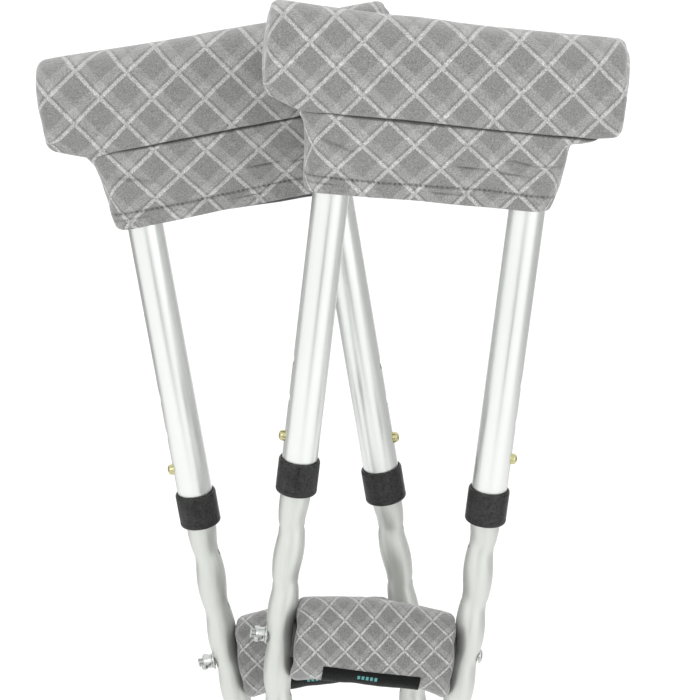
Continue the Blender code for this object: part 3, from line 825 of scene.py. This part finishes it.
def add_wing_nut(crutch):
    """A turned hub with two cast ears that thicken towards their rims."""
    hub = [
        (0.0035, 0.0001), (0.0046, 0.0), (0.0047, 0.0003), (0.0044, 0.0020), (0.0041, 0.0042),
        (0.0040, 0.0052), (0.0038, 0.0055), (0.0035, 0.0053),
    ]
    ear = [
        (-0.0004, 0.0036), (-0.0012, 0.0053), (-0.0026, 0.0076), (-0.0036, 0.0088), (-0.0046, 0.0093),
        (-0.0060, 0.0090), (-0.0068, 0.0081), (-0.0066, 0.0068), (-0.0057, 0.0052), (-0.0042, 0.0036),
    ]
    ear_middle = Vector((-0.0041, 0.0070))
    # (share of half the thickness, share drawn in towards the middle)
    upper_half = ((0.3, 0.0), (0.75, 0.028), (1.0, 0.098))
    levels = [(-level, drawn) for level, drawn in upper_half[::-1]] + list(upper_half)
    shapes = [turned(hub, LEFT, SMALL_SIDES)]
    for side in (-1, 1):
        rings = []
        for level, drawn in levels:
            rings.append([])
            for x, y in spline(ear, 40):
                half_thick = 0.0009 + 0.0005 * smooth_step(0.004, 0.0105, y)
                flat = Vector((x, y)).lerp(ear_middle, drawn)
                rings[-1].append((flat.x, side * flat.y, level * half_thick))
        shapes.append(closed_loft(rings))
    nut = shape_object(*joined(shapes), (-BOLT_SEAT - WASHER_THICKNESS - GAP, 0, 0))
    finish_piece(nut, "cast_wing_nut", crutch, "wing_nut_body", "steel", "wing_nut")


def leg_hole_heights():
    lowest = LEG_BOTTOM - COLLAR_LIP + COLLAR_LENGTH + LEG_FIRST_HOLE
    return [lowest + index * HOLE_PITCH for index in range(LEG_HOLES)]


def add_leg_tube(crutch):
    """The centre tube with its row of holes, its collar, and the rivets that hold the bows."""
    tube = lathe(rounded(pipe(OUTER_R, BORE_R, LEG_TOP, LEG_BOTTOM), 0.0005))
    holes = [(0, 0, z) for z in leg_hole_heights()]
    rivets = [(0, 0, z) for z in RIVET_HEIGHTS]
    drill(tube, holes, BUTTON_HOLE_R, THROUGH_WALL, FORWARD)
    drill(tube, rivets, RIVET_HOLE_R, THROUGH_TUBE, RIGHT)
    finish_piece(tube, "centre_tube", crutch, "frame", "matte", "leg_tube")
    foot = (0, 0, LEG_BOTTOM - COLLAR_LIP - GAP)
    add_collar(crutch, "centre_collar", "frame", foot, "leg_collar")
    shank_r, seat = 0.0028, OUTER_R + 2 * INNER_R + 2 * GAP
    half = [(shank_r, 0), (shank_r, seat)] + dome(0.0052, seat, 0.0021)
    profile = half[::-1] + [(r, -x) for r, x in half[1:]]
    for word, place in zip(("upper", "lower"), rivets):
        rivet = lathe(profile, RIGHT, SMALL_SIDES, place)
        finish_piece(rivet, f"domed_rivet_{word}", crutch, "frame", "steel", f"leg_rivet_{word}")


def add_leg(crutch):
    """The inner leg tube with its snap button and its rubber tip."""
    shift = LEG_HOLES_UP[crutch.name] * HOLE_PITCH
    button_z = leg_hole_heights()[LEG_HOLES_BELOW]
    bottom = TIP_BOTTOM + TIP_FLOOR + TIP_WASHER_THICKNESS + 2 * GAP
    outline = pipe(INNER_R, INNER_R - WALL, button_z + LEG_BUTTON_DEPTH, bottom)
    tube = lathe(rounded(outline, 0.0004, 2))
    place = (0, 0, button_z)
    drill(tube, [place], BUTTON_HOLE_R, THROUGH_WALL, FORWARD)
    finish_piece(tube, "inner_leg_tube", crutch, "leg", "leg_satin", "leg_extension", shift)
    add_button(crutch, "leg_stud", "leg_button_body", place, FORWARD, "leg_button", shift)
    sole = [
        (0.0030, 0.0009), (0.0060, 0.0009), (0.0064, 0.0), (0.0100, 0.0), (0.0104, 0.0009),
        (0.0134, 0.0009), (0.0138, 0.0), (0.0183, 0.0), (0.0190, 0.0004), (0.0195, 0.0012),
    ]
    flare = [
        (0.0195, 0.0066), (0.0191, 0.0078), (0.0178, 0.0101), (0.0163, 0.0127), (0.0150, 0.0155),
        (0.0142, 0.0185), (0.0138, 0.0235), (0.0136, 0.0300), (0.0138, 0.0308), (0.0142, 0.0316),
        (0.0142, 0.0358), (0.0139, 0.0367), (0.0131, 0.0375), (0.0130, 0.0385),
    ]
    mouth = [
        (0.0130, TIP_HEIGHT - 0.0014), (0.0128, TIP_HEIGHT - 0.0006), (0.0122, TIP_HEIGHT),
        (BORE_R + 0.0006, TIP_HEIGHT), (BORE_R, TIP_HEIGHT - 0.0006), (BORE_R, TIP_FLOOR),
        (0, TIP_FLOOR), (0, 0.0009),
    ]
    tip = lathe(sole + flare + mouth, sides=FINE_SIDES, at=(0, 0, TIP_BOTTOM))
    finish_piece(tip, "moulded_tip", crutch, "leg", "rubber", "rubber_tip", shift)


# ---- fleece

def plaid_uv(crutch, across, up, crossing=None, diamond=None):
    """The place in the plaid, in lines each way. It lies level, however far the crutch leans.

    It is the underarm cover's plaid, unless another crossing and diamond are given."""
    crossing = crossing or COVER_CROSSING[crutch.name]
    diamond = diamond or COVER_DIAMOND[crutch.name]
    along, aside = cos(crutch.lean), sin(crutch.lean)
    level = across * along + up * aside - crossing[0]
    rise = up * along - across * aside - crossing[1]
    return (rise + level) / diamond, (rise - level) / diamond


def seen_height(y, z, tilt):
    """How high a place looks from a little above."""
    return z * cos(tilt) + y * sin(tilt)


def pattern_rise(outline, tilt, start):
    """How far up the pattern each point of a closed (y, z) outline lies, going once round it.

    The point number `start` lies where it looks to be."""
    rise = [0.0]
    for (y0, z0), (y1, z1) in zip(outline, outline[1:] + outline[:1]):
        seen = abs(seen_height(y1 - y0, z1 - z0, tilt))
        least = STEEP + (1 - STEEP) * smooth_step(0.0, 0.014, (y0 + y1) / 2)
        rise.append(rise[-1] + max(seen, least * hypot(y1 - y0, z1 - z0)))
    shift = seen_height(*outline[start], tilt) - rise[start]
    return [value + shift for value in rise]


def tube_stations(half, edge_r, edge_steps, steps, gathered=()):
    """(x, inset) of the rings of a stuffed tube with rounded edges, from left to right."""
    left = list(gathered)
    for index in range(edge_steps + 1):
        angle = radians(90 * index / edge_steps)
        left.append((-half + edge_r * (1 - cos(angle)), edge_r * (1 - sin(angle))))
    straight = half - edge_r
    middle = [(-straight + 2 * straight * k / steps, 0.0) for k in range(1, steps)]
    return left + middle + [(-x, inset) for x, inset in left[::-1]]


def lofted(rings, uv_at):
    """A skin over closed rings of points. uv_at(ring, step) also takes the step after the last."""
    count = len(rings[0])
    points = [point for ring in rings for point in ring]
    faces, uvs = [], []
    for index in range(len(rings) - 1):
        low, high = index * count, (index + 1) * count
        for step in range(count):
            after = (step + 1) % count
            faces.append((low + step, low + after, high + after, high + step))
            corners = ((0, 0), (0, 1), (1, 1), (1, 0))
            uvs += [uv_at(index + up, step + along) for up, along in corners]
    return points, faces, uvs


def closed_loft(rings):
    """(points, faces) of a solid body over closed rings of points, with flat ends."""
    points, faces, _ = lofted(rings, lambda index, step: None)
    count = len(rings[0])
    return points, faces + [range(count)[::-1], range(len(points) - count, len(points))]


def cloth_object(points, faces, uvs, painted_shades):
    """The painted shades say how much darker the cloth is painted at each point: shade in its creases,
    folds and seams, and at the grip cover's gathered ends.
    """
    mesh = mesh_of(points, faces, uvs)
    attribute = mesh.attributes.new("crease", "FLOAT", "POINT")
    attribute.data.foreach_set("value", painted_shades)
    return object_of("cloth", mesh)


def settled_lift(crutch, x, z):
    slope, lift = between(SETTLE[crutch.name], z)
    return lift + slope * x


def settle(crutch, place):
    place.z += settled_lift(crutch, place.x, place.z)
    place.x += max(place.x, 0.0) * ROLL_WIDER[crutch.name]
    return place


def painted_crease_shade(x):
    """Painted shade in the crease between roll and skirt, which is faint at its left end, where the
    cloth isn't pulled in.
    """
    return PAINTED_CREASE_SHADE * (0.2 + 0.8 * smooth_step(-0.068, -0.050, x))


def roll_painted_shade(x, z):
    """Painted shade on the roll's cloth where it turns in against the skirt."""
    return painted_crease_shade(x) * smooth_step(0.3577, 0.3570, z) * smooth_step(0.098, 0.088, abs(x))


def shape_roll_point(crutch, place):
    """Lets the stuffed roll sag, gather and crown, as sewn cloth over foam does."""
    x, y, z = place
    place.z += smooth_step(0.374, 0.358, z) * between(ROLL_HANG, x)[0]
    place.x -= 0.0022 * smooth_step(0.384, 0.404, z) * smooth_step(0.080, 0.106, x)
    crown = smooth_step(0.03, 0.10, abs(x)) - 0.5
    place.z += 0.0012 * smooth_step(0.395, 0.412, z) * crown
    seed = Vector((x * 26, y * 30, z * 34)) + SEEDS[crutch.name]
    lumps = 0.0006 * noise(seed) + 0.00022 * noise(seed * 3.7)
    place += Vector((0, y, z - ROLL_MIDDLE_Z)).normalized() * lumps
    return settle(crutch, place)


def add_roll(crutch):
    """The stuffed roll of the underarm cover."""
    count = 176
    outline = spline(ROLL_FRONT + tuple((-y, z) for y, z in ROLL_FRONT[-2:0:-1]), count)
    crease = min(range(count // 3), key=lambda k: abs(outline[k][0] - CREASE_Y))
    rise = pattern_rise(outline, COVER_TILT, crease)
    stations = tube_stations(ROLL_HALF, ROLL_END_R, 12, 130)
    rings, painted_shades = [], []
    for x, inset in stations:
        narrow, low = 1 - inset / ROLL_HALF_Y, 1 - inset * 0.8 / ROLL_HALF_Z
        rings.append([])
        for y, z in outline:
            place = Vector((x, y * narrow, ROLL_MIDDLE_Z + (z - ROLL_MIDDLE_Z) * low))
            # Painted shade where the roll turns in against the skirt
            painted_shades.append(roll_painted_shade(x, place.z))
            rings[-1].append(shape_roll_point(crutch, place))

    def uv_at(index, step):
        x, inset = stations[index]
        across = x + copysign(inset * 0.6, x)
        lift = settled_lift(crutch, x, outline[step % count][1])
        return plaid_uv(crutch, across, rise[step] + lift * cos(COVER_TILT))

    def flat_uv(index):
        return plaid_uv(crutch, points[index].y, points[index].z)

    points, faces, uvs = lofted(rings, uv_at)
    for first, side in ((0, -1), ((len(rings) - 1) * count, 1)):
        panel = round_end(points, first, count, side)
        faces += panel
        uvs += [flat_uv(index) for face in panel for index in face]
    painted_shades += [0.0] * (len(points) - len(painted_shades))
    roll = cloth_object(points, faces, uvs, painted_shades)
    finish_piece(roll, "fleece_roll", crutch, "underarm", "fleece", "underarm_cover")


def round_end(points, first, count, side):
    """Adds a softly crowned panel's points inside one end's ring, and returns its faces."""
    rim = points[first:first + count]
    middle = sum(rim, Vector()) / count
    previous = list(range(first, first + count))
    faces = []
    for share in (0.85, 0.65, 0.45, 0.25, 0.1):
        row = list(range(len(points), len(points) + count))
        for corner in rim:
            place = middle.lerp(corner, share)
            place.x = middle.x + side * ROLL_END_CROWN * (1 - share * share)
            place.x += side * 0.0006 * noise(place * 90)
            points.append(place)
        for step in range(count):
            after = (step + 1) % count
            faces.append((previous[step], previous[after], row[after], row[step]))
        previous = row
    centre = len(points)
    points.append(middle + Vector((side * ROLL_END_CROWN, 0, 0)))
    faces += [(previous[step], previous[(step + 1) % count], centre) for step in range(count)]
    return faces if side > 0 else [face[::-1] for face in faces]


def skirt_half_depth(z):
    top = 0.0264 - 0.0110 * smooth_step(0.3557, 0.3590, z)
    return top - 0.0076 * smooth_step(0.358, 0.304, z)


def stadium(half_x, half_y, count, z):
    """Points round a flat oval at one height, evenly spaced, from the middle of the front."""
    radius = min(half_y * 0.92, SKIRT_CORNER_R)
    x, y = half_x - radius, half_y - radius
    start = Vector((0, -half_y, z))
    path = [start]
    for middle_x, middle_y, turn in ((x, -y, -90), (x, y, 0), (-x, y, 90), (-x, -y, 180)):
        for angle in [radians(turn + 90 * k / 12) for k in range(13)]:
            corner = (middle_x + radius * cos(angle), middle_y + radius * sin(angle), z)
            path.append(Vector(corner))
    return evenly(path + [start], count)


def fold_depth(x, z):
    """(depth, painted shade) of the wrinkles, the hem's seam and its inner edge at a place."""
    depth, dark = 0.0, 0.0
    for x0, z0, x1, z1, deep, half in WRINKLES:
        t = min(max((x - x0) / (x1 - x0), -0.2), 1.2)
        share = bump(z, z0 + (z1 - z0) * t, half) * bump(t, 0.5, 0.72)
        depth += deep * share
        dark = max(dark, 0.36 * share)
    wave = 0.0005 * sin(x * 60) + 0.0004 * noise(Vector((x * 45, 2.0, 0)))
    stitched = 0.62 + 0.38 * sin(x * tau / STITCH_PITCH)
    seam = bump(z, SEAM_Z + wave, 0.0014) * stitched
    patch = smooth_step(-0.15, 0.35, noise(Vector((x * 38 + 5.0, 9.0, 0))))
    inner = bump(z, HEM_FOLD_Z + wave, 0.0009) * patch
    return depth + 0.0013 * seam + 0.0007 * inner, max(dark, 0.78 * seam, 0.36 * inner)


def skirt_across(x, depth):
    """How far round the skirt a place lies: straight across its front and back, blended round
    its ends. The depth is 0 at the front and 1 at the back."""
    t = min(max(depth, 0.0), 1.0)
    front = abs(x) + 2 * SKIRT_HALF_Y * t
    back = 2 * SKIRT_HALF_X + 2 * SKIRT_HALF_Y - abs(x)
    return copysign(front + (back - front) * t, x)


def skirt_levels():
    """(height, inset) of the skirt's rings, from its top down and in round its hem."""
    heights = [SKIRT_TOP, 0.3600, 0.3585, 0.3570, 0.3560] + [0.3550 - 0.0009 * k for k in range(56)]
    outer = [(z, 0.0) for z in heights if z > SKIRT_BOTTOM + 0.0012]
    return outer + [(SKIRT_BOTTOM + rise, inset) for rise, inset in SKIRT_HEM]


def add_skirt(crutch):
    """The flat skirt below the roll, with its wrinkles, its hem and the seam above it."""
    count = 260
    levels = skirt_levels()
    rings, painted_shades, across, lifts = [], [], [], []
    for z, inset in levels:
        left, right = between(SKIRT_EDGES, z)
        half_y = skirt_half_depth(z) - inset
        rings.append([])
        for place in stadium((left + right) / 2 - inset, half_y, count, z):
            x, y = place.x, place.y
            depth, dark = fold_depth(x if y < 0 else -x * 0.9 + 0.011, z)
            depth *= 1 - 0.7 * smooth_step(0.068, 0.076, abs(x))
            if inset:
                depth, dark = 0.0, 0.3 * dark
            seed = Vector((x * 24, y * 24 + 4, z * 40))
            soft = noise(seed) * 0.0009 + noise(seed * 3.3) * 0.0003
            place += Vector((x * 0.15, y, 0)).normalized() * (soft - depth)
            wave = 0.0006 * noise(Vector((x * 30, y * 30, 1.7)))
            place.z += wave * smooth_step(0.325, 0.306, z)
            place.x += (right - left) / 2
            across.append(skirt_across(place.x, (y + half_y) / (2 * half_y)))
            lifts.append(settled_lift(crutch, place.x, z))
            # Painted shade on the skirt: under the roll's edge, and in its wrinkles, seam and hem
            shade_under_roll = painted_crease_shade(place.x) * smooth_step(0.3554, 0.3563, z)
            painted_shades.append(min(max(dark, shade_under_roll), PAINTED_CREASE_SHADE))
            rings[-1].append(settle(crutch, place))

    def uv_at(index, step):
        z, inset = levels[index]
        place = index * count + step % count
        up = seen_height(CREASE_Y, z + lifts[place], COVER_TILT) - inset
        return plaid_uv(crutch, across[place], up)

    points, faces, uvs = lofted(rings, uv_at)
    keep_together(uvs)
    skirt = cloth_object(points, faces, uvs, painted_shades)
    finish_piece(skirt, "fleece_skirt", crutch, "underarm", "fleece")


def keep_together(uvs):
    """Where the map jumps, at the middle of the back, moves the far corners next to the first."""
    for first in range(0, len(uvs), 4):
        base = uvs[first]
        for index in range(first + 1, first + 4):
            if abs(uvs[index][0] - base[0]) > 1.5:
                uvs[index] = (base[0] + 0.02, base[1] - 0.02)


def add_pad_foam(crutch):
    """The foam that shows inside the skirt from below, with the tubes going up into it."""
    rings = []
    for z, inset in PAD_LEVELS:
        rings.append(stadium(PAD_HALF_X - inset, PAD_HALF_Y - inset, 120, 0))
        for place in rings[-1]:
            place.z = z + 0.0006 * noise(place * 60)
    foam = shape_object(*closed_loft(rings))
    for side in (-1, 1):
        drill(foam, [(side * SPREAD, 0, 0)], OUTER_R + GAP, PAD_POCKET, UP, MEDIUM_SIDES)
    finish_piece(foam, "foam_filling", crutch, "underarm", "foam", "underarm_pad")


def grip_radius(x, angle):
    """Radius of the grip's cover. The angle is 0 at the front and a quarter turn at the top."""
    rise = sin(angle)
    reached = between(GRIP_TOP if rise > 0 else GRIP_UNDER, x)[0]
    radius = GRIP_FRONT + (reached - GRIP_FRONT) * abs(rise)
    seed = Vector((x * 45, cos(angle) * 1.6, sin(angle) * 1.6))
    return radius + 0.0005 * noise(seed) + 0.00022 * noise(seed * 3.1)


def round_place(x, radius, angle):
    return Vector((x, -radius * cos(angle), radius * sin(angle)))


def add_grip_cover(crutch):
    """A fleece sleeve over the foam, gathered in at both ends round the rigid core."""
    count = 144
    gathered = ((0.0020, GRIP_GATHER), (0.0016, 0.0092), (0.0006, 0.0068))
    gathered = [(-GRIP_HALF + inwards, inset) for inwards, inset in gathered]
    stations = tube_stations(GRIP_HALF, GRIP_EDGE_R, 8, 80, gathered)
    angles = [tau * step / count - pi / 2 for step in range(count)]
    outline = [(-GRIP_PATTERN_R * cos(angle), GRIP_PATTERN_R * sin(angle)) for angle in angles]
    rise = pattern_rise(outline, GRIP_TILT, count // 4)
    rings, painted_shades = [], []
    for x, inset in stations:
        rings.append([])
        out = inset / GRIP_GATHER
        for angle in angles:
            pleat = 0.0004 * out * sin(angle * 22 + 3 * sin(angle * 5))
            pull = 0.0010 * sin(angle * 3 + (1 if x > 0 else 4)) * smooth_step(0.035, 0.049, abs(x))
            radius = grip_radius(x, angle) - inset + pleat
            place = round_place(x + copysign(pull, x), radius, angle)
            droop = smooth_step(-0.024, -0.046, x) * max(-sin(angle), 0.0) ** 2
            place.z -= 0.0006 * droop
            rings[-1].append(place)
            # Painted shade where the cover is gathered in at its ends, darkest at the rim
            painted_shades.append(min(2.4 * out, 0.93))

    def uv_at(index, step):
        x, inset = stations[index]
        across = x + copysign(inset, x)
        return plaid_uv(crutch, across, rise[step], GRIP_CROSSING[crutch.name], GRIP_DIAMOND)

    cover = cloth_object(*lofted(rings, uv_at), painted_shades)
    finish_piece(cover, "grip_fleece", crutch, "frame", "grip_cloth", "grip_cover")


def add_grip_core(crutch):
    """The rigid core with the foam on it, cradled by the bows' waists."""
    profile = rounded(pipe(CORE_R, BOLT_HOLE_R, -CORE_HALF, CORE_HALF), 0.0006, 2)
    core = lathe(profile, RIGHT, MEDIUM_SIDES)
    finish_piece(core, "grip_spool", crutch, "frame", "core", "grip_core")
    profile = rounded(pipe(GRIP_FOAM_R, CORE_R + GAP, -GRIP_FOAM_HALF, GRIP_FOAM_HALF), 0.003)
    foam = lathe(profile, RIGHT, MEDIUM_SIDES)
    finish_piece(foam, "grip_filling", crutch, "frame", "foam", "grip_foam")


def add_label(crutch):
    """A thin ribbon sewn round the lower front of the grip's cover."""
    columns, rows = 60, 12
    low, high = LABEL_ANGLES
    outside = [(row, 0.0007, 0.00012) for row in range(rows, -1, -1)]
    outline = outside + [(row, 0.0001, 0.0) for row in range(rows + 1)]
    rings = []
    for column in range(columns + 1):
        x = LABEL_HALF * (2 * column / columns - 1)
        rings.append([])
        for row, lift, ripple in outline:
            degrees = low + (high - low) * row / rows - LABEL_SLANT * x / LABEL_HALF
            angle = radians(degrees)
            radius = grip_radius(x, angle) + lift + ripple * sin(x * 240)
            rings[-1].append(round_place(x, radius, angle))

    def uv_at(index, step):
        return index / columns, outline[step % len(outline)][0] / rows

    points, faces, uvs = lofted(rings, uv_at)
    for column, turn in ((0, 1), (columns, -1)):
        first = column * len(outline)
        for step in range(rows):
            back = len(outline) - 1 - step
            corners = (step, back, back - 1, step + 1)[::turn]
            faces.append([first + corner for corner in corners])
            uvs += [uv_at(column, corner) for corner in corners]
    label = object_of("label", mesh_of(points, faces, uvs))
    finish_piece(label, "woven_label", crutch, "frame", "label")


# ---- scene

def add_crutch(crutch):
    for word, side in (("left", -1), ("right", 1)):
        add_bow(crutch, word, side)
        add_upper_tube(crutch, word, side)
        creep = COLLAR_CREEP[crutch.name, word]
        add_collar(
            crutch, f"ring_{word}", "underarm", (side * SPREAD, 0, COLLAR_BOTTOM + creep),
            f"collar_{word}", COLLAR_LIP - creep,
        )
        add_button(
            crutch, f"stud_{word}", f"height_button_{word}_body", (side * SPREAD, 0, BUTTON_Z),
            (side, 0, 0), f"height_button_{word}",
        )
    makers = (
        add_grip_bolt, add_wing_nut, add_leg_tube, add_leg, add_roll, add_skirt, add_pad_foam,
        add_grip_cover, add_grip_core, add_label,
    )
    for add_piece in makers:
        add_piece(crutch)


def add_camera(front):
    """The photograph's view: from the front and 22 degrees above, from 2.8 m away."""
    tilt, distance = radians(22), 2.8
    aim = front.origin + Vector((-0.0144, 0, 0.1999))
    camera = object_of("camera", bpy.data.cameras.new("camera"))
    camera.data.lens = 235.5
    camera.data.clip_end = 60
    camera.location = aim + distance * Vector((0, -cos(tilt), sin(tilt)))
    camera.rotation_euler.x = radians(90) - tilt
    bpy.context.scene.camera = camera


def add_area_light(name, place, aim, size, power):
    light = object_of(name, bpy.data.lights.new(name, "AREA"))
    light.data.energy = power
    light.data.size = size
    light.location = place
    light.rotation_euler = (Vector(aim) - Vector(place)).to_track_quat("-Z", "Y").to_euler()


def add_card(name, middle, half, distance, shade, heights=(0.0, 1.4)):
    """A grey curved card that only shows in reflections, to give the tubes their darker bands.

    Its angles in degrees are round the crutches, from the front towards the right."""
    points = []
    for height in heights:
        for step in range(9):
            angle = radians(middle + half * (step / 4 - 1))
            points.append((distance * sin(angle), -distance * cos(angle), height))
    mesh = mesh_of(points, [(step, step + 1, step + 10, step + 9) for step in range(8)])
    material, _, shader = new_material(name, Roughness=0.9, Specular_IOR_Level=0.0)
    shader.inputs["Base Color"].default_value = (shade, shade, shade, 1)
    mesh.materials.append(material)
    card = object_of(name, mesh)
    card.visible_camera = card.visible_diffuse = card.visible_shadow = False


def add_floor(half=12):
    """The crutches are held up by a grip, clear of the floor, so a leg has room to slide out."""
    corners = [(x, y, FLOOR_Z) for x, y in ((-half, -half), (half, -half), (half, half), (-half, half))]
    floor = object_of("floor", mesh_of(corners, [(0, 1, 2, 3)]))
    material, tree, shader = new_material("pale_floor", Roughness=0.8, Specular_IOR_Level=0.2)
    faint = spread_over(tree, noise_at(tree, object_place(tree), 3.0), 0.985, 1.0)
    paint(tree, shader, (0.93, 0.93, 0.93), faint)
    floor.data.materials.append(material)


def add_studio():
    add_floor()
    scene = bpy.context.scene
    scene.world = bpy.data.worlds.new("studio")
    scene.world.use_nodes = True
    background = scene.world.node_tree.nodes["Background"]
    background.inputs["Color"].default_value = (1, 1, 1, 1)
    background.inputs["Strength"].default_value = 1.22
    scene.view_settings.view_transform = "Standard"
    add_card("left_card", -127, 27, 1.6, 0.30)
    add_card("right_card", 108, 38, 1.6, 0.45)
    add_card("front_card", 0, 6.5, 1.8, 0.03, (0.0, 0.85))
    add_area_light("key", (-1.6, -2.4, 2.6), (0, 0, 1.0), 1.6, 16)
    add_area_light("fill", (2.0, -2.0, 1.6), (0, 0, 0.9), 1.6, 10)


def main():
    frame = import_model()
    materials = make_materials()
    crutches = [Crutch(name, frame, materials) for name in ("front", "rear")]
    add_camera(crutches[0])
    for crutch in crutches:
        add_crutch(crutch)
    finish_hidden_nodes(frame)
    add_studio()


main()
